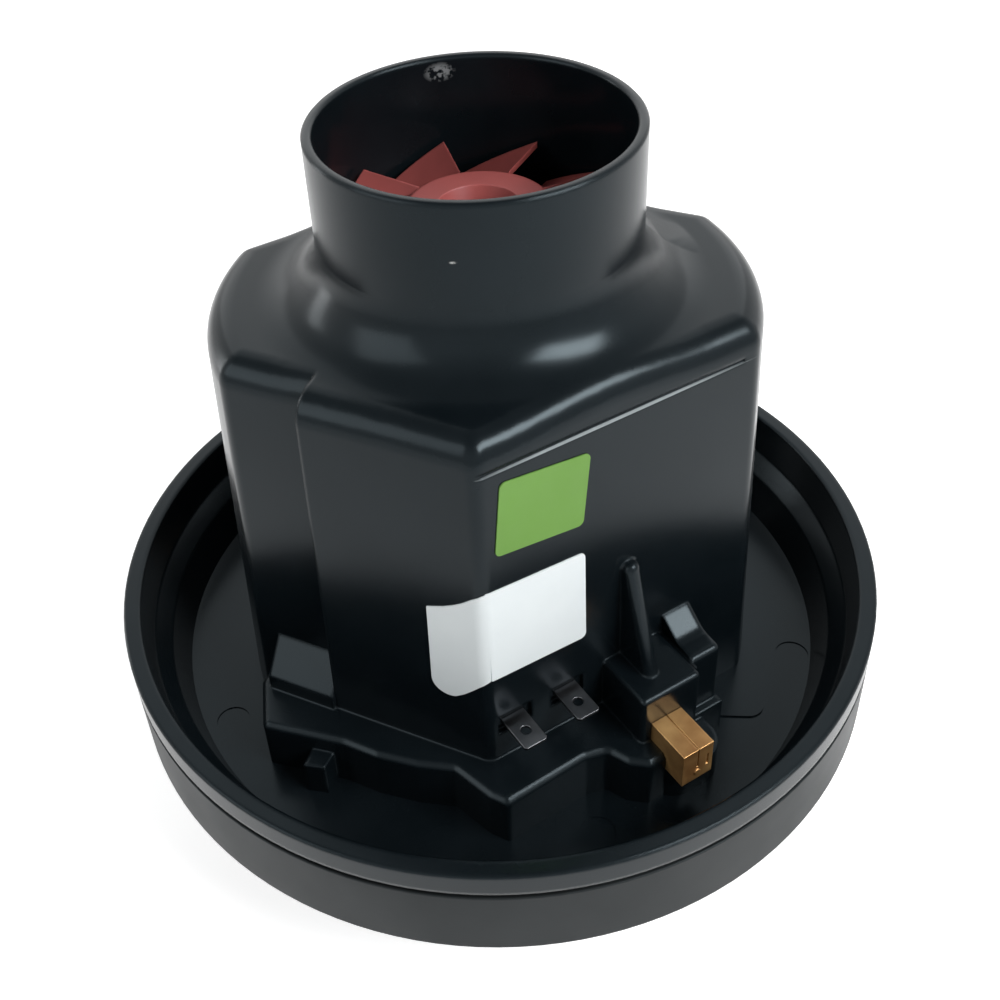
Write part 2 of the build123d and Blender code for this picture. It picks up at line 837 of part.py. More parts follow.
def shaft():
    """Motor shaft with a turned-down thread at each end."""
    solid = disc(shaft_radius, impeller_hub_z, cooler_floor_z)
    low_thread = disc(nose_radius, shaft_low_z, impeller_hub_z)
    high_thread = disc(nose_radius, cooler_floor_z, shaft_high_z)
    solid += chamfer(low_thread.edges().sort_by(Axis.Z)[:1], nose_chamfer)
    solid += chamfer(high_thread.edges().sort_by(Axis.Z)[-1:], nose_chamfer)
    return solid


def stator_core():
    """Stacked sheets with two poles and their shoes round the armature."""
    bore = rotor_radius + air_gap
    ring = disc(stack_radius, stack_z, stack_top_z)
    half = stack_half_depth
    ring &= block((-stack_radius, -half, stack_z), (stack_radius, half, stack_top_z))
    room = disc(stack_radius - yoke_width, stack_z, stack_top_z)
    room &= block((-stack_radius, yoke_width - half, stack_z), (stack_radius, half - yoke_width, stack_top_z))
    shoe = tube(bore + pole_shoe_thickness, bore, stack_z, stack_top_z)
    reach = (bore + pole_shoe_thickness) * sin(radians(pole_shoe_half_angle))
    shoe &= block((0, -reach, stack_z), (stack_radius, reach, stack_top_z))
    neck = block((bore + pole_shoe_thickness / 2, -pole_half_width, stack_z),
                 (stack_radius - yoke_width / 2, pole_half_width, stack_top_z))
    solid = ring - room
    for extra in (0, half_turn):
        solid += turn(shoe + neck, extra)
    solid -= disc(bore, stack_z, stack_top_z)
    for extra in (0, half_turn):
        low_z = stack_top_z - bridge_screw_bite
        hole = disc(screw_radius + screw_clearance, low_z, stack_top_z, (0, bridge_leg_y))
        solid -= turn(hole, extra)
    return solid


def field_coil():
    """Saddle coil round the right pole, bulging past both ends of the stack."""
    near = rotor_radius + air_gap + pole_shoe_thickness + coil_clearance
    far = stack_radius - yoke_width - coil_clearance
    side = pole_half_width + coil_clearance + coil_side
    low_z, high_z = stack_z - coil_overhang, stack_top_z + coil_overhang
    solid = tube(far, near, low_z, high_z) & block((0, -side, low_z), (far, side, high_z))
    solid = chamfer(round_edges(solid, far), coil_bevel)
    window = pole_half_width + coil_clearance
    low_z, high_z = stack_z - coil_clearance, stack_top_z + coil_clearance
    return solid - block((0, -window, low_z), (stack_radius, window, high_z))


def round_edges(solid, radius):
    """Level round edges of a solid at one radius from the axis."""
    arcs = solid.edges().filter_by(GeomType.CIRCLE)
    return [e for e in arcs if abs(e.radius - radius) < coil_clearance]


def armature_core():
    """Slotted stack on the shaft."""
    solid = tube(rotor_radius, shaft_radius + fit_clearance, stack_z, stack_top_z)
    slot = block((rotor_radius - rotor_slot_depth, -rotor_slot_width / 2, stack_z),
                 (rotor_radius + rotor_slot_depth, rotor_slot_width / 2, stack_top_z))
    for copy in ring_of(slot, rotor_slot_count):
        solid -= copy
    return solid


def armature_winding():
    """Wound ends of the armature above and below its stack."""
    hole = shaft_radius + fit_clearance
    riser_top = rim_z - commutator_drop + commutator_height + riser_height
    pieces = []
    for low_z, high_z in ((riser_top, stack_z), (stack_top_z, stack_top_z + winding_height)):
        shoulder = winding_radius - winding_round
        pieces.append(turned(
            (hole, low_z), (shoulder, low_z), (winding_radius, low_z + winding_round),
            (winding_radius, high_z - winding_round), (shoulder, high_z), (hole, high_z),
        ))
    return pieces


def commutator():
    """Ring of copper bars with slits between them, and the wider ring of risers on top."""
    low_z = rim_z - commutator_drop
    bar_z = low_z + commutator_height
    hole = shaft_radius + fit_clearance
    solid = tube(commutator_radius, hole, low_z, bar_z)
    slit = block((commutator_radius - bar_slit_depth, -bar_slit / 2, low_z),
                 (commutator_radius + bar_slit_depth, bar_slit / 2, bar_z))
    for copy in ring_of(slit, commutator_bars):
        solid -= copy
    return [solid, tube(riser_radius, hole, bar_z, bar_z + riser_height)]


def brush():
    """Front carbon brush, hollowed to the commutator at its working end."""
    half_x, half_z = brush_width / 2, brush_height / 2
    tip = commutator_radius + brush_gap
    solid = block((brush_offset - half_x, -tip - brush_length, brush_z - half_z),
                  (brush_offset + half_x, 0, brush_z + half_z))
    return solid - disc(tip, brush_z - brush_height, brush_z + brush_height)


def brush_holder():
    """Front brass tube, closed at its outer end, its folded seam running along its top."""
    half_x, half_z = holder_width / 2, holder_height / 2
    solid = block((brush_offset - half_x, -holder_front, brush_z - half_z),
                  (brush_offset + half_x, -holder_back, brush_z + half_z))
    room_x, room_z = half_x - holder_wall, half_z - holder_wall
    solid -= block((brush_offset - room_x, holder_wall - holder_front, brush_z - room_z),
                   (brush_offset + room_x, overrun - holder_back, brush_z + room_z))
    half_seam = holder_seam / 2
    seam_z = brush_z + half_z - holder_seam_depth
    solid -= block((brush_offset - half_seam, -holder_front - overrun, seam_z),
                   (brush_offset + half_seam, overrun - holder_back, seam_z + overrun))
    return dress_holder_end(solid)


def dress_holder_end(solid):
    """Seam, latch slot and stud on the closed end of the front brass tube."""
    half_x, half_z = holder_width / 2, holder_height / 2
    sunk_y = holder_seam_depth - holder_front
    stud_z = brush_z - half_z + stud_rise
    half_seam = holder_seam / 2
    solid -= block((brush_offset - half_seam, -holder_front - overrun, stud_z + 2 * stud_radius),
                   (brush_offset + half_seam, sunk_y, brush_z + half_z + overrun))
    latch_x = brush_offset + half_x - latch_inset
    solid -= block((latch_x - latch_width, -holder_front - overrun, stud_z + stud_radius),
                   (latch_x, sunk_y, stud_z + stud_radius + latch_height))
    stud = Cylinder(stud_radius, 2 * stud_height)
    return solid + Pos(brush_offset, -holder_front, stud_z) * Rot(quarter_turn, 0, 0) * stud


def brush_spring():
    """Coil spring behind the front brush."""
    start = commutator_radius + brush_gap + brush_length
    length = holder_front - holder_wall - start - spring_wire - 2 * brush_play
    path = Helix(length / spring_turns, length, spring_radius)
    section = Plane(origin=(spring_radius, 0, 0), z_dir=(0, 1, 0)) * Rectangle(spring_wire, spring_wire)
    coil = sweep(section, path=path, is_frenet=True)
    near = start + spring_wire / 2 + brush_play
    return Pos(brush_offset, -near, brush_z) * Rot(quarter_turn, 0, 0) * coil


def terminal(x):
    """Blade terminal through the front wall, with a hole and chamfered tip."""
    blade_z = rim_z + blade_rise
    wall = wall_distance(front_wall_distance, blade_z)
    tip = -wall - blade_reach
    solid = block((x - blade_width / 2, tip, blade_z - blade_thickness / 2),
                  (x + blade_width / 2, blade_tail - wall, blade_z + blade_thickness / 2))
    corners = [e for e in solid.edges().filter_by(Axis.Z) if e.center().Y < -wall]
    solid = chamfer(corners, blade_tip_chamfer)
    hole = disc(blade_hole_radius, blade_z - blade_thickness, blade_z + blade_thickness,
                (x, tip + blade_hole_inset))
    return solid - hole


def upper_bridge():
    """Bridge on the stator stack that carries the upper bearing in its hub."""
    top_z = rim_z + bridge_top_rise
    seat = bearing_radius + fit_clearance
    hub_radius = seat + bridge_hub_wall
    arm_z = top_z - bridge_lip - bridge_arm_height
    solid = disc(hub_radius, top_z - bridge_hub_height, top_z)
    half = bridge_arm_width / 2
    far = stack_half_depth
    near = far - bridge_leg_depth
    arm = block((-half, 0, arm_z), (half, far, arm_z + bridge_arm_height))
    arm += block((-half, near, stack_top_z), (half, far, arm_z + bridge_arm_height))
    ridge = [e for e in arm.edges().filter_by(Axis.X) if e.center().Y > far - bridge_bevel
             and e.center().Z > arm_z]
    arm = chamfer(ridge, bridge_bevel)
    for extra in (0, half_turn):
        solid += turn(arm, extra)
    solid -= disc(seat, top_z - bridge_hub_height, top_z - bridge_lip)
    solid -= disc(shaft_hole_radius, top_z - bridge_hub_height, top_z)
    for extra in (0, half_turn):
        hole = disc(screw_radius + screw_clearance, stack_top_z, top_z, (0, bridge_leg_y))
        solid -= turn(hole, extra)
    return solid


def bridge_screws():
    """Two long screws through the bridge's legs into the stack."""
    seat_z = rim_z + bridge_top_rise - bridge_lip
    length = seat_z - stack_top_z + bridge_screw_bite - screw_clearance
    one = Pos(0, bridge_leg_y, seat_z) * Rot(half_turn, 0, 0) * screw(length)
    return [one, turn(one, half_turn)]


def cooling_fan():
    """Axial fan at the top of the shaft, with pitched vanes round a sunk hub."""
    low_z = cooler_top_z - cooler_hub_height
    hub = disc(cooler_hub_radius, low_z, cooler_top_z)
    hub = fillet(hub.edges().filter_by(GeomType.CIRCLE).sort_by(Axis.Z)[-1:], cooler_hub_round)
    one = cooler_vane()
    for copy in ring_of(one, cooler_vane_count, cooler_vane_first_angle + cooler_vane_angle / 2):
        hub += copy
    hub -= turned(
        (0, cooler_floor_z), (cooler_recess_floor, cooler_floor_z),
        (cooler_recess_radius, cooler_top_z), (cooler_recess_radius, cooler_top_z + overrun),
        (0, cooler_top_z + overrun),
    )
    boss_z = upper_bearing_z + bearing_height
    hub += disc(cooler_boss_radius, boss_z, low_z)
    return hub - disc(shaft_radius + fit_clearance, boss_z, cooler_top_z)


def cooler_vane():
    """One pitched vane of the cooling fan, its middle on the X axis."""
    half = radians(cooler_vane_angle / 2)
    sections = []
    for distance in (cooler_hub_radius - cooler_hub_round, cooler_tip_radius + cooler_hub_round):
        width = distance * tan(half)
        drop = cooler_vane_height
        outline = Polyline(
            (-width, 0), (-width, -cooler_vane_thickness),
            (width, -drop), (width, cooler_vane_thickness - drop), close=True,
        )
        plane = Plane(origin=(distance, 0, cooler_top_z), x_dir=(0, 1, 0), z_dir=(1, 0, 0))
        sections.append(plane * make_face(outline.edges()))
    blade = loft(sections, ruled=True)
    return blade & disc(cooler_tip_radius, rim_z, chimney_z)


def label_skin():
    """Film's thickness all over the body's walls."""
    return body_block(side_wall_distance, -label_thickness) - body_block(side_wall_distance, 0)


def green_label():
    """Thin bare label on the front wall."""
    outline = RectangleRounded(green_label_width, green_label_height, label_corner)
    plane = Plane(origin=(green_label_x, -rim_radius, rim_z + green_label_rise),
                  x_dir=(1, 0, 0), z_dir=(0, -1, 0))
    prism = extrude(plane * Rot(0, 0, -green_label_tilt) * outline, -front_wall_distance - overrun)
    return label_skin() & prism


def wall_corner(distance, other_distance):
    """How far along one wall its corner with the other wall lies."""
    lean = radians(front_angle - side_wall_angle)
    return (other_distance - distance * cos(lean)) / sin(lean)


def white_label_part(shares, start, sense, low_round, angle):
    """One wall's share of the white label, carried in from outside through the body's skin."""
    high = white_label_height
    middle_z = rim_z + white_label_rise
    points = [(start + sense * high * a, middle_z + high * b) for a, b in shares]
    face = make_face(Polyline(*points, close=True).edges())
    end_x = start + sense * high * max(a for a, b in shares)
    for round_radius, order in ((low_round, 0), (label_corner, -1)):
        ends = [v for v in face.vertices() if abs(v.X - end_x) < white_label_low_corner]
        corner = sorted(ends, key=lambda v: v.Y)[order]
        face = fillet(corner, round_radius)
    plane = Plane(origin=(rim_radius, 0, 0), x_dir=(0, 1, 0), z_dir=(1, 0, 0))
    return turn(extrude(plane * face, -front_wall_distance - overrun), angle)


def white_label():
    """Thin bare label on the front wall, its end folded round the corner onto the side wall."""
    middle_z = rim_z + white_label_rise
    front = wall_distance(front_wall_distance, middle_z)
    side = wall_distance(side_wall_distance, middle_z)
    prism = white_label_part(white_front_shares, -wall_corner(front, side), 1,
                             label_corner, front_angle)
    prism += white_label_part(white_flap_shares, wall_corner(side, front), -1,
                              white_label_low_corner, side_wall_angle)
    return label_skin() & prism


def save(name, shape):
    """Write one piece, or one kind of repeated piece, to its own file."""
    pieces = shape if isinstance(shape, list) else [shape]
    solids = [s for piece in pieces for s in piece.solids()]
    export_step(Compound(children=solids), f"parts/{name}.step")


def main():
    """Build every piece of the unit and write it out."""
    os.makedirs("parts", exist_ok=True)
    for name, piece in housing_nodes().items():
        save(name, piece)
    save("rim_seal", rim_seal())
    save("lower_shell", lower_shell())
    save("fan_bracket", fan_bracket())
    save("bracket_screws", bracket_screws())
    save("diffuser", diffuser())
    save("fan_cover", fan_cover())
    save("stator_core", stator_core())
    save("field_coil_right", field_coil())
    save("field_coil_left", turn(field_coil(), half_turn))
    save("upper_bridge", upper_bridge())
    save("bridge_screws", bridge_screws())
    save("upper_bearing", bearing(upper_bearing_z))
    save("lower_bearing", bearing(lower_bearing_z))
    save("bearing_spring", bearing_spring())
    save("shaft", shaft())
    save("armature_core", armature_core())
    save("armature_winding", armature_winding())
    save("commutator", commutator())
    save("cooling_fan", cooling_fan())
    save("fan_nut", nut(cooler_floor_z))
    save("impeller", impeller())
    save("impeller_spacer", impeller_spacer())
    save("impeller_nut", nut(impeller_hub_z - nut_height))
    for name, extra in (("front", 0), ("rear", half_turn)):
        save(f"brush_holder_{name}", turn(brush_holder(), extra))
        save(f"brush_{name}", turn(brush(), extra))
        save(f"brush_spring_{name}", turn(brush_spring(), extra))
    save("terminal_left", terminal(left_blade_x))
    save("terminal_right", terminal(right_blade_x))
    save("green_label", green_label())
    save("white_label", white_label())


main()
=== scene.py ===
import bpy
import bmesh
import json
from math import cos, pi, radians, sin
from mathutils import Matrix, Vector


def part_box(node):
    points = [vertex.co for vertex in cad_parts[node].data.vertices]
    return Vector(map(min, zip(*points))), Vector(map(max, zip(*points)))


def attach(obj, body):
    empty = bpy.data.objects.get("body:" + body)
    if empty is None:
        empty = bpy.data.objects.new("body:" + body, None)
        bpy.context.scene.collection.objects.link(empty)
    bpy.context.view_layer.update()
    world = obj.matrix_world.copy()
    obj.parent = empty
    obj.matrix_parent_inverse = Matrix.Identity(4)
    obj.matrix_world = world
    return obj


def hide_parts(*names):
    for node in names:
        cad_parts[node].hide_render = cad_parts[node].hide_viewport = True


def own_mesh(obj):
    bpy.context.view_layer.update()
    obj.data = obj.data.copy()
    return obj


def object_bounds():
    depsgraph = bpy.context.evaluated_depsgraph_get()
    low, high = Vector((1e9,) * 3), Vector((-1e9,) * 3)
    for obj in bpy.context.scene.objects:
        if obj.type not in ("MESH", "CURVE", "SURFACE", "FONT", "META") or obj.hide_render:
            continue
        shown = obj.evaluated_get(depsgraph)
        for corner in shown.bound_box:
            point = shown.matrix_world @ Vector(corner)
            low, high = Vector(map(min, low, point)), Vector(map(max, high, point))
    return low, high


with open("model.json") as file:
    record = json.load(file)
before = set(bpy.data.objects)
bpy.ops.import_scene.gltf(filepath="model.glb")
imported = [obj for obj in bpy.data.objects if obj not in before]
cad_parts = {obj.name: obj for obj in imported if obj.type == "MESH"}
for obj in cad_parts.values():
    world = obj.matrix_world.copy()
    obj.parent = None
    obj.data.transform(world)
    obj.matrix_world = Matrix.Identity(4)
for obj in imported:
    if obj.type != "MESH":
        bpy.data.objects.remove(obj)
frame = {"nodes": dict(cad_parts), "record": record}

cad_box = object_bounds()

# Lengths are in metres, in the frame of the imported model: Z up the motor axis, -Y out of the front wall.
MM = 0.001
RIM_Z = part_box("rim_pan")[1][2]
CHIMNEY_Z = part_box("chimney")[1][2]

# Levels where the moulding's nodes meet; the surface runs on there without an edge
SEAMS = (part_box("chimney")[0][2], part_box("motor_housing")[0][2])

# The camera, fitted to the ellipses of the rim and the chimney in the photograph
CAMERA_AZIMUTH = radians(30.9)
CAMERA_REACH = 256.35 * MM
CAMERA_RISE = 248.52 * MM
CAMERA_PITCH = 0.655
CAMERA_YAW = -0.037
CAMERA_ROLL = 0.070
FOCAL_PIXELS = 1275.654
CENTRE_PIXEL = (449.706, 400.313)
IMAGE_PIXELS = 1000
SENSOR = 36.0

# Lamps: shares of up, right and towards the camera in the direction, distance, size and watts
LAMP_AIM_RISE = 40 * MM
LAMPS = {
    "back softbox": ((0.86, 0.0, -1.0), 1.15, (1.7, 1.2), 5.0),
    "key": ((0.64, 0.61, 0.43), 0.8, (0.46, 0.24), 6.4),
    "left fill": ((0.5, -0.8, 0.4), 1.0, (0.65, 0.6), 2.8),
    "left strip": ((0.1, -1.0, -0.45), 0.8, (0.14, 0.6), 0.9),
}

# Surroundings: level as light and as seen, and how much the reflected ceiling is dimmed
WORLD_LIGHT = 0.25
WORLD_SEEN = 1.0
CEILING_BAND = (0.45, 0.95)
CEILING_DIM = 0.7

FLOOR_HALF = 6.0
FLOOR_GREY = 0.86
FLOOR_ROUGHNESS = 0.9
FLOOR_GLOW = 0.6

# Brush springs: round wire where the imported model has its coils
SPRING_WIRE = 0.4 * MM
SPRING_TURNS = 9
SPRING_CLOSING = 0.035
RING_STEPS = 10
TURN_STEPS = 24

# Parts of a noise's range, from 0 to 1, that a look is spread over
FULL_BAND = (0.0, 1.0)
WIDE_BAND = (0.3, 0.7)
CLOUD_BAND = (0.35, 0.7)
SPECK_BAND = (0.42, 0.5)
SPOT_BAND = (1.0, 0.5)

# Rounding and wear of edges; the band is the cosine between the flat and the rounded normal
BEVEL_SAMPLES = 8
SEAM_FADE = 1.6
WORN_BAND = (0.97, 0.75)

COOL_TINT = (0.76, 0.92, 1.0, 1.0)

# Places of small marks on the black moulding, and of a painted highlight line along the groove under the
# shoulder: centre, half sizes and colour
CHIP = ((11.3 * MM, 33.8 * MM, CHIMNEY_Z - 3.6 * MM), (4.4 * MM, 3.0 * MM, 2.6 * MM),
        (0.17, 0.18, 0.185))
TICK = ((-23.9 * MM, -29.3 * MM, CHIMNEY_Z - 13.2 * MM), (1.0 * MM, 1.0 * MM, 0.35 * MM),
        (0.5, 0.5, 0.48))
# Painted highlight: a pale strip that stands in for light caught by the groove's lower lip
PAINTED_GROOVE_HIGHLIGHT = ((0.0, -51.75 * MM, RIM_Z + 77.95 * MM), (42.0 * MM, 1.2 * MM, 0.34 * MM),
          (0.3, 0.33, 0.34))


# Node trees

def new_material(name):
    """Empty principled material, with its tree and its main shader."""
    mat = bpy.data.materials.new(name)
    mat.use_nodes = True
    tree = mat.node_tree
    return mat, tree, tree.nodes["Principled BSDF"]


def add(tree, kind, **values):
    """New node with values set on its properties or its unlinked sockets."""
    item = tree.nodes.new(kind)
    for key, value in values.items():
        if hasattr(item, key):
            setattr(item, key, value)
        else:
            item.inputs[key.replace("_", " ")].default_value = value
    return item


def place(tree, stretch=(1, 1, 1)):
    """Object coordinates, stretched."""
    coords = add(tree, "ShaderNodeTexCoord")
    mapping = add(tree, "ShaderNodeMapping")
    mapping.inputs["Scale"].default_value = stretch
    tree.links.new(coords.outputs["Object"], mapping.inputs["Vector"])
    return mapping.outputs["Vector"]


def noise(tree, scale, detail=4.0, stretch=(1, 1, 1)):
    """Noise in object space, from 0 to 1."""
    item = add(tree, "ShaderNodeTexNoise", Scale=scale, Detail=detail)
    tree.links.new(place(tree, stretch), item.inputs["Vector"])
    return item.outputs["Fac"]


def spread(tree, source, band, to_band=FULL_BAND):
    """Source rescaled from one band to another and clamped."""
    item = add(tree, "ShaderNodeMapRange", clamp=True)
    for socket, value in zip(("From Min", "From Max", "To Min", "To Max"), (*band, *to_band)):
        item.inputs[socket].default_value = value
    tree.links.new(source, item.inputs["Value"])
    return item.outputs["Result"]


def blend_colour(tree, amount, first, second):
    """Mix of two colours or colour sockets."""
    item = add(tree, "ShaderNodeMix", data_type="RGBA")
    for socket, value in ((item.inputs[6], first), (item.inputs[7], second)):
        if isinstance(value, tuple):
            socket.default_value = (*value, 1.0)
        else:
            tree.links.new(value, socket)
    tree.links.new(amount, item.inputs[0])
    return item.outputs[2]


def sums(tree, operation, *values):
    """Math on sockets and numbers."""
    item = add(tree, "ShaderNodeMath", operation=operation)
    for socket, value in zip(item.inputs, values):
        if isinstance(value, float):
            socket.default_value = value
        else:
            tree.links.new(value, socket)
    return item.outputs[0]


def rounded_normal(tree, radius, seams=()):
    """Normal that rounds off sharp edges, but not where a seam between nodes crosses a surface."""
    item = add(tree, "ShaderNodeBevel", samples=BEVEL_SAMPLES)
    item.inputs["Radius"].default_value = radius
    normal = item.outputs["Normal"]
    for level in seams:
        flat = add(tree, "ShaderNodeNewGeometry")
        height = add(tree, "ShaderNodeSeparateXYZ")
        tree.links.new(flat.outputs["Position"], height.inputs["Vector"])
        gap = sums(tree, "ABSOLUTE", sums(tree, "SUBTRACT", height.outputs["Z"], level))
        far = spread(tree, gap, (radius, SEAM_FADE * radius))
        join = add(tree, "ShaderNodeMix", data_type="VECTOR")
        tree.links.new(far, join.inputs[0])
        tree.links.new(flat.outputs["Normal"], join.inputs[4])
        tree.links.new(normal, join.inputs[5])
        normal = join.outputs[1]
    return normal


def edge_wear(tree, radius, seams=()):
    """1 near sharp edges, 0 on open faces."""
    flat = add(tree, "ShaderNodeNewGeometry")
    dot = add(tree, "ShaderNodeVectorMath", operation="DOT_PRODUCT")
    tree.links.new(rounded_normal(tree, radius, seams), dot.inputs[0])
    tree.links.new(flat.outputs["Normal"], dot.inputs[1])
    return spread(tree, dot.outputs["Value"], WORN_BAND)


def bump(tree, bsdf, height, strength, distance, radius=None, seams=()):
    """Bump on the main shader, over edges rounded by a radius."""
    item = add(tree, "ShaderNodeBump", Strength=strength, Distance=distance)
    tree.links.new(height, item.inputs["Height"])
    if radius:
        tree.links.new(rounded_normal(tree, radius, seams), item.inputs["Normal"])
    tree.links.new(item.outputs["Normal"], bsdf.inputs["Normal"])


def spot(tree, centre, radii):
    """1 inside a small ellipsoid round a point of the object, fading to 0 outside it."""
    coords = add(tree, "ShaderNodeTexCoord")
    gap = add(tree, "ShaderNodeVectorMath", operation="SUBTRACT")
    gap.inputs[1].default_value = centre
    tree.links.new(coords.outputs["Object"], gap.inputs[0])
    share = add(tree, "ShaderNodeVectorMath", operation="DIVIDE")
    share.inputs[1].default_value = radii
    tree.links.new(gap.outputs["Vector"], share.inputs[0])
    length = add(tree, "ShaderNodeVectorMath", operation="LENGTH")
    tree.links.new(share.outputs["Vector"], length.inputs[0])
    return spread(tree, length.outputs["Value"], SPOT_BAND)


# Materials. A noise's scale is in waves per metre.

def plastic(name, dark, pale, roughness, specular, round_radius, marks=(), painted_highlight_lines=(), seams=()):
    """Moulded plastic with faint mottling, dust in its roughness, worn edges, small marks and painted
    highlight lines.
    """
    mottle_scale, wear_scale, speck_scale, dust_scale, grain_scale = 60.0, 900.0, 700.0, 25.0, 2600.0
    wear_amount, edge_gain, edge_lift = 0.35, 3.0, 0.01
    grain_strength, grain_depth = 0.04, 0.2 * MM
    mat, tree, bsdf = new_material(name)
    mottle = spread(tree, noise(tree, mottle_scale), CLOUD_BAND)
    colour = blend_colour(tree, mottle, dark, pale)
    worn = sums(tree, "MULTIPLY", edge_wear(tree, round_radius, seams), noise(tree, wear_scale, detail=2.0))
    edge_colour = tuple(c * edge_gain + edge_lift for c in pale)
    colour = blend_colour(tree, sums(tree, "MULTIPLY", worn, wear_amount), colour, edge_colour)
    # Painted highlight lines, laid straight into the colour
    for centre, radii, tint in painted_highlight_lines:
        colour = blend_colour(tree, spot(tree, centre, radii), colour, tint)
    for centre, radii, tint in marks:
        speck = spread(tree, noise(tree, speck_scale), SPECK_BAND)
        mask = sums(tree, "MULTIPLY", spot(tree, centre, radii), speck)
        colour = blend_colour(tree, mask, colour, tint)
    tree.links.new(colour, bsdf.inputs["Base Color"])
    dust = spread(tree, noise(tree, dust_scale, detail=6.0), WIDE_BAND, roughness)
    tree.links.new(dust, bsdf.inputs["Roughness"])
    bsdf.inputs["Specular IOR Level"].default_value = specular
    bsdf.inputs["Specular Tint"].default_value = COOL_TINT
    bump(tree, bsdf, noise(tree, grain_scale, detail=2.0), grain_strength, grain_depth, round_radius, seams)
    return mat


def metal(name, dark, pale, roughness, grain=(1, 1, 1), grain_strength=0.08, metallic=1.0):
    """Metal with drawn or turned grain, stains and brighter edges."""
    streak_scale, stain_scale, round_radius, grain_depth = 300.0, 90.0, 0.4 * MM, 0.1 * MM
    wear_amount, edge_gain, full_colour = 0.6, 1.35, 1.0
    mat, tree, bsdf = new_material(name)
    streak = noise(tree, streak_scale, detail=6.0, stretch=grain)
    stain = spread(tree, noise(tree, stain_scale, detail=5.0), CLOUD_BAND)
    colour = blend_colour(tree, stain, dark, pale)
    worn = sums(tree, "MULTIPLY", edge_wear(tree, round_radius), wear_amount)
    edge_colour = tuple(min(full_colour, c * edge_gain) for c in pale)
    tree.links.new(blend_colour(tree, worn, colour, edge_colour), bsdf.inputs["Base Color"])
    tree.links.new(spread(tree, streak, WIDE_BAND, roughness), bsdf.inputs["Roughness"])
    bsdf.inputs["Metallic"].default_value = metallic
    bump(tree, bsdf, streak, grain_strength, grain_depth, round_radius)
    return mat


def label_film(name, colour, shade):
    """Plain film with a slight sheen and faint unevenness."""
    cloud_scale, sheen_scale, wave_scale = 45.0, 220.0, 70.0
    sheen_band, specular, wave_strength, wave_depth = (0.42, 0.55), 0.3, 0.12, 0.3 * MM
    mat, tree, bsdf = new_material(name)
    cloud = spread(tree, noise(tree, cloud_scale, detail=5.0), CLOUD_BAND)
    tree.links.new(blend_colour(tree, cloud, colour, shade), bsdf.inputs["Base Color"])
    sheen = spread(tree, noise(tree, sheen_scale), WIDE_BAND, sheen_band)
    tree.links.new(sheen, bsdf.inputs["Roughness"])
    bsdf.inputs["Specular IOR Level"].default_value = specular
    bump(tree, bsdf, noise(tree, wave_scale, detail=3.0), wave_strength, wave_depth)
    return mat


def banded(name, dark, pale, bands, distortion, finish, relief, stretch=(1, 1, 1)):
    """Metal in fine bands across Z, such as wire or sheet laid side by side."""
    mat, tree, bsdf = new_material(name)
    wave = add(tree, "ShaderNodeTexWave", wave_type="BANDS", bands_direction="Z",
               Scale=bands, Distortion=distortion)
    tree.links.new(place(tree, stretch), wave.inputs["Vector"])
    tree.links.new(blend_colour(tree, wave.outputs["Fac"], dark, pale), bsdf.inputs["Base Color"])
    bsdf.inputs["Metallic"].default_value, bsdf.inputs["Roughness"].default_value = finish
    bump(tree, bsdf, wave.outputs["Fac"], *relief)
    return mat


def carbon():
    """Pressed graphite."""
    grain_scale, roughness, strength, depth, round_radius = 1500.0, 0.55, 0.3, 0.1 * MM, 0.3 * MM
    mat, tree, bsdf = new_material("carbon")
    grain = noise(tree, grain_scale, detail=6.0)
    colour = blend_colour(tree, grain, (0.02, 0.02, 0.022), (0.07, 0.07, 0.075))
    tree.links.new(colour, bsdf.inputs["Base Color"])
    bsdf.inputs["Roughness"].default_value = roughness
    bump(tree, bsdf, grain, strength, depth, round_radius)
    return mat


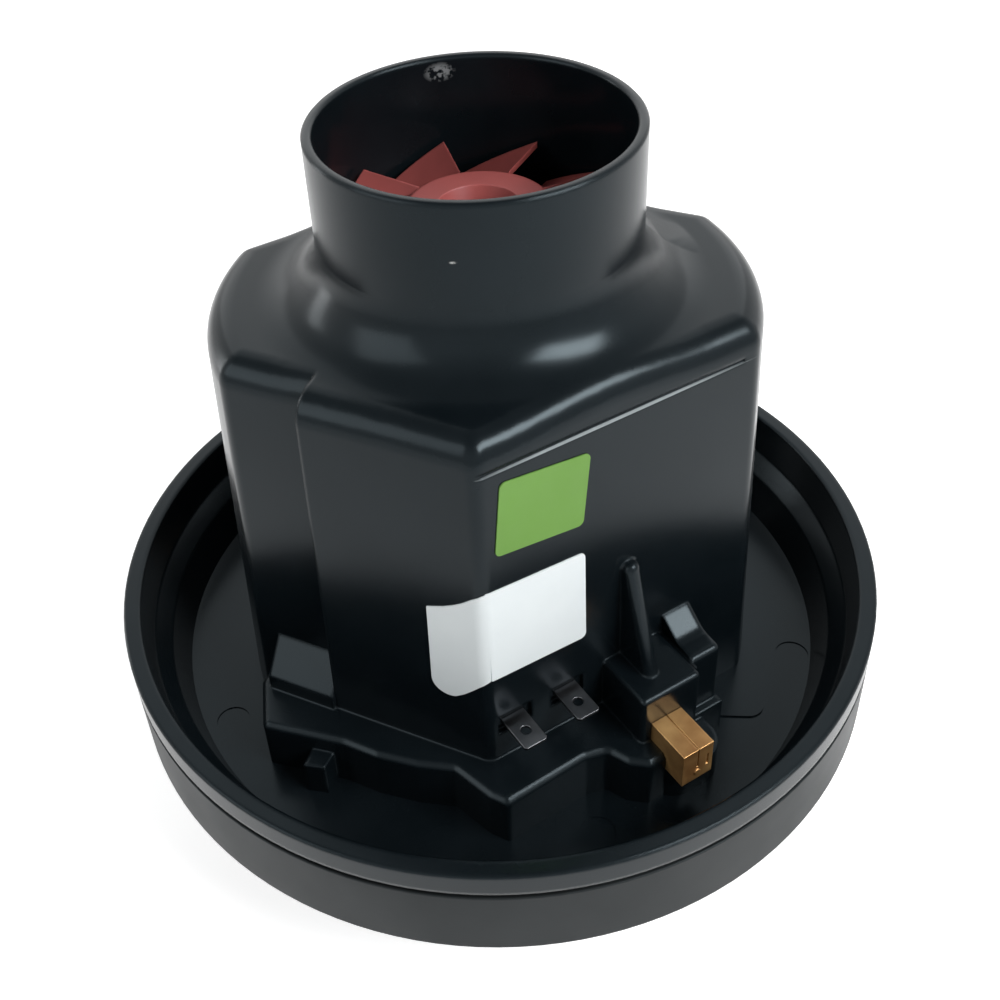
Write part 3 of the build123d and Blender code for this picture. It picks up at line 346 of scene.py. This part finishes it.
def make_materials():
    """One material per slot of the record: dark and pale colour, then roughness and finish."""
    return {
        "black_plastic": plastic("black plastic", (0.0030, 0.0050, 0.0064),
                                 (0.0046, 0.0070, 0.0088), (0.18, 0.26), specular=0.2,
                                 # The groove line passed here is a painted highlight
                                 round_radius=1.4 * MM, marks=(CHIP, TICK), painted_highlight_lines=(PAINTED_GROOVE_HIGHLIGHT,),
                                 seams=SEAMS),
        "shell_plastic": plastic("shell plastic", (0.0095, 0.0108, 0.0112),
                                 (0.0135, 0.015, 0.0155), (0.36, 0.48), specular=0.15,
                                 round_radius=0.8 * MM),
        "red_plastic": plastic("red plastic", (0.3, 0.068, 0.063), (0.38, 0.088, 0.08),
                               (0.36, 0.5), specular=0.4, round_radius=0.5 * MM),
        "seal_rubber": plastic("seal rubber", (0.004, 0.004, 0.0045), (0.009, 0.009, 0.0095),
                               (0.6, 0.8), specular=0.25, round_radius=0.3 * MM),
        "brass_sheet": metal("brass sheet", (0.36, 0.18, 0.065), (0.66, 0.4, 0.16),
                             (0.3, 0.48), (1, 0.05, 1), metallic=0.72),
        "terminal_steel": metal("terminal steel", (0.07, 0.075, 0.082), (0.16, 0.165, 0.175),
                                (0.3, 0.5), (1, 0.1, 1)),
        "pressed_steel": metal("pressed steel", (0.38, 0.39, 0.4), (0.6, 0.61, 0.62),
                               (0.28, 0.45), (1, 1, 0.05)),
        "screw_steel": metal("screw steel", (0.35, 0.36, 0.38), (0.55, 0.56, 0.58), (0.25, 0.4)),
        "bearing_steel": metal("bearing steel", (0.42, 0.43, 0.45), (0.62, 0.63, 0.65),
                               (0.15, 0.28), (0.05, 0.05, 1)),
        "spring_steel": metal("spring steel", (0.25, 0.26, 0.28), (0.42, 0.43, 0.45),
                              (0.25, 0.35)),
        "cast_aluminium": metal("cast aluminium", (0.5, 0.51, 0.52), (0.66, 0.67, 0.68),
                                (0.42, 0.6), grain_strength=0.3),
        "wheel_aluminium": metal("wheel aluminium", (0.62, 0.63, 0.64), (0.78, 0.79, 0.8),
                                 (0.22, 0.36), (1, 1, 0.1)),
        "sheet_stack": banded("sheet stack", (0.05, 0.05, 0.055), (0.16, 0.16, 0.17),
                              bands=320.0, distortion=0.1, finish=(0.7, 0.45),
                              relief=(0.35, 0.1 * MM)),
        "copper_wire": banded("copper wire", (0.26, 0.09, 0.035), (0.62, 0.29, 0.13),
                              bands=420.0, distortion=1.5, finish=(0.85, 0.34),
                              relief=(0.6, 0.3 * MM), stretch=(0.2, 0.2, 1)),
        "carbon": carbon(),
        "green_film": label_film("green film", (0.14, 0.29, 0.058), (0.13, 0.268, 0.053)),
        "white_film": label_film("white film", (0.76, 0.81, 0.82), (0.72, 0.77, 0.785)),
    }


def dress_nodes(materials):
    """Give each CAD node the material of its slot."""
    slots = {item["node"]: item["material_slot"] for item in frame["record"]["subparts"]}
    for name, obj in frame["nodes"].items():
        obj.data.materials.clear()
        obj.data.materials.append(materials[slots[name]])


# Pieces

def spring_mesh(work, low, high, centre_x, centre_z, radius):
    """Round-wire coil along Y between two ends, its last turns closed up."""
    steps = SPRING_TURNS * TURN_STEPS
    ring_angles = [2 * pi * j / RING_STEPS for j in range(RING_STEPS)]
    rings = []
    for k in range(steps + 1):
        share = k / steps
        angle = 2 * pi * SPRING_TURNS * share
        along = share + SPRING_CLOSING * sin(2 * pi * share)
        out = Vector((cos(angle), 0, sin(angle)))
        centre = Vector((centre_x, low + (high - low) * along, centre_z)) + radius * out
        rings.append([
            work.verts.new(centre + SPRING_WIRE * (out * cos(turn) + Vector((0, 1, 0)) * sin(turn)))
            for turn in ring_angles
        ])
    for first, second in zip(rings, rings[1:]):
        for j in range(RING_STEPS):
            nxt = (j + 1) % RING_STEPS
            work.faces.new((first[j], first[nxt], second[nxt], second[j]))
    work.faces.new(rings[0])
    work.faces.new(list(reversed(rings[-1])))


def make_piece(name, mat, *shape):
    """Object for a coil spring, smooth shaded and in the scene."""
    mesh = bpy.data.meshes.new(name)
    work = bmesh.new()
    spring_mesh(work, *shape)
    bmesh.ops.recalc_face_normals(work, faces=work.faces)
    work.to_mesh(mesh)
    work.free()
    mesh.materials.append(mat)
    for face in mesh.polygons:
        face.use_smooth = True
    obj = bpy.data.objects.new(name, mesh)
    bpy.context.scene.collection.objects.link(obj)
    return obj


def make_springs(mat):
    """Coil springs behind the two brushes, built at one length in place of the imported coils and fixed to
    the housing.
    """
    for side, sign in (("front", -1), ("rear", 1)):
        low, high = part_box(f"brush_spring_{side}")
        near, far = (high[1], low[1]) if sign < 0 else (low[1], high[1])
        near += sign * SPRING_WIRE
        far -= sign * SPRING_WIRE
        centre_x, centre_z = (low[0] + high[0]) / 2, (low[2] + high[2]) / 2
        radius = (high[2] - low[2]) / 2 - SPRING_WIRE
        coil = make_piece(f"coil_spring_{side}", mat, near, far, centre_x, centre_z, radius)
        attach(coil, "housing")
        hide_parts(f"brush_spring_{side}")
        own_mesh(coil)


# Camera, light and floor

def make_camera():
    """Camera at the photograph's place, with its framing."""
    yaw = Matrix.Rotation(CAMERA_YAW, 3, "Z")
    down, level = sin(CAMERA_PITCH), cos(CAMERA_PITCH)
    tilt = Matrix(((1, 0, 0), (0, down, level), (0, level, -down)))
    roll = Matrix.Rotation(CAMERA_ROLL, 3, "Z")
    turn = Matrix.Rotation(-CAMERA_AZIMUTH, 3, "Z")
    right, up, ahead = (turn @ Vector(row) for row in roll @ tilt @ yaw)
    stand = turn @ Vector((0, -CAMERA_REACH, CAMERA_RISE)) + Vector((0, 0, RIM_Z))
    cam = bpy.data.objects.new("camera", bpy.data.cameras.new("camera"))
    rows = [(right[k], up[k], -ahead[k], stand[k]) for k in range(3)]
    cam.matrix_world = Matrix((*rows, (0, 0, 0, 1)))
    cam.data.sensor_width = SENSOR
    cam.data.lens = FOCAL_PIXELS / IMAGE_PIXELS * SENSOR
    cam.data.shift_x = 0.5 - CENTRE_PIXEL[0] / IMAGE_PIXELS
    cam.data.shift_y = CENTRE_PIXEL[1] / IMAGE_PIXELS - 0.5
    bpy.context.scene.collection.objects.link(cam)
    bpy.context.scene.camera = cam
    return right, ahead


def area_light(name, direction, distance, size, power):
    """Soft rectangular lamp that looks at the middle of the unit."""
    data = bpy.data.lights.new(name, "AREA")
    data.shape = "RECTANGLE"
    data.size, data.size_y = size
    data.energy = power
    obj = bpy.data.objects.new(name, data)
    obj.location = Vector((0, 0, RIM_Z + LAMP_AIM_RISE)) + direction.normalized() * distance
    obj.rotation_euler = (-direction).to_track_quat("-Z", "Y").to_euler()
    bpy.context.scene.collection.objects.link(obj)


def make_lights(right, ahead):
    """Soft studio lamps placed round the photograph's view."""
    level_right = Vector((right.x, right.y, 0)).normalized()
    toward = Vector((-ahead.x, -ahead.y, 0)).normalized()
    for name, (shares, distance, size, power) in LAMPS.items():
        rise, side, front = shares
        direction = Vector((0, 0, rise)) + level_right * side + toward * front
        area_light(name, direction, distance, size, power)


def seen_rays(tree):
    """1 for rays that are looked along, straight or in a reflection, and the glossy rays alone."""
    rays = add(tree, "ShaderNodeLightPath")
    seen = sums(tree, "MAXIMUM", rays.outputs["Is Camera Ray"], rays.outputs["Is Glossy Ray"])
    seen = sums(tree, "MAXIMUM", seen, rays.outputs["Is Transmission Ray"])
    return seen, rays.outputs["Is Glossy Ray"]


def make_world():
    """Pale surroundings for the view and the reflections, and a softer level for the light."""
    world = bpy.data.worlds.new("studio")
    bpy.context.scene.world = world
    world.use_nodes = True
    tree = world.node_tree
    back = tree.nodes["Background"]
    seen, glossy = seen_rays(tree)
    level = spread(tree, seen, FULL_BAND, (WORLD_LIGHT, WORLD_SEEN))
    coords = add(tree, "ShaderNodeTexCoord")
    axes = add(tree, "ShaderNodeSeparateXYZ")
    tree.links.new(coords.outputs["Generated"], axes.inputs["Vector"])
    ceiling = spread(tree, axes.outputs["Z"], CEILING_BAND, (0.0, CEILING_DIM))
    dim = sums(tree, "MULTIPLY", ceiling, glossy)
    lit = sums(tree, "SUBTRACT", 1.0, dim)
    tree.links.new(sums(tree, "MULTIPLY", level, lit), back.inputs["Strength"])
    back.inputs["Color"].default_value = (1, 1, 1, 1)


def make_floor():
    """Pale floor that shows white to the camera and keeps the unit's shadow."""
    corners = [(x * FLOOR_HALF, y * FLOOR_HALF, 0) for x, y in ((-1, -1), (1, -1), (1, 1), (-1, 1))]
    mesh = bpy.data.meshes.new("floor")
    mesh.from_pydata(corners, [], [(0, 1, 2, 3)])
    obj = bpy.data.objects.new("floor", mesh)
    obj.location.z = cad_box[0][2]
    bpy.context.scene.collection.objects.link(obj)
    mat, tree, bsdf = new_material("floor")
    bsdf.inputs["Base Color"].default_value = (FLOOR_GREY, FLOOR_GREY, FLOOR_GREY, 1)
    bsdf.inputs["Roughness"].default_value = FLOOR_ROUGHNESS
    seen, _ = seen_rays(tree)
    bsdf.inputs["Emission Color"].default_value = (1, 1, 1, 1)
    glow = sums(tree, "MULTIPLY", seen, FLOOR_GLOW)
    tree.links.new(glow, bsdf.inputs["Emission Strength"])
    mesh.materials.append(mat)


def main():
    """Dress the frame, add the pieces and set up the view."""
    materials = make_materials()
    dress_nodes(materials)
    make_springs(materials["spring_steel"])
    make_lights(*make_camera())
    make_world()
    make_floor()
    bpy.context.scene.view_settings.view_transform = "Standard"


main()
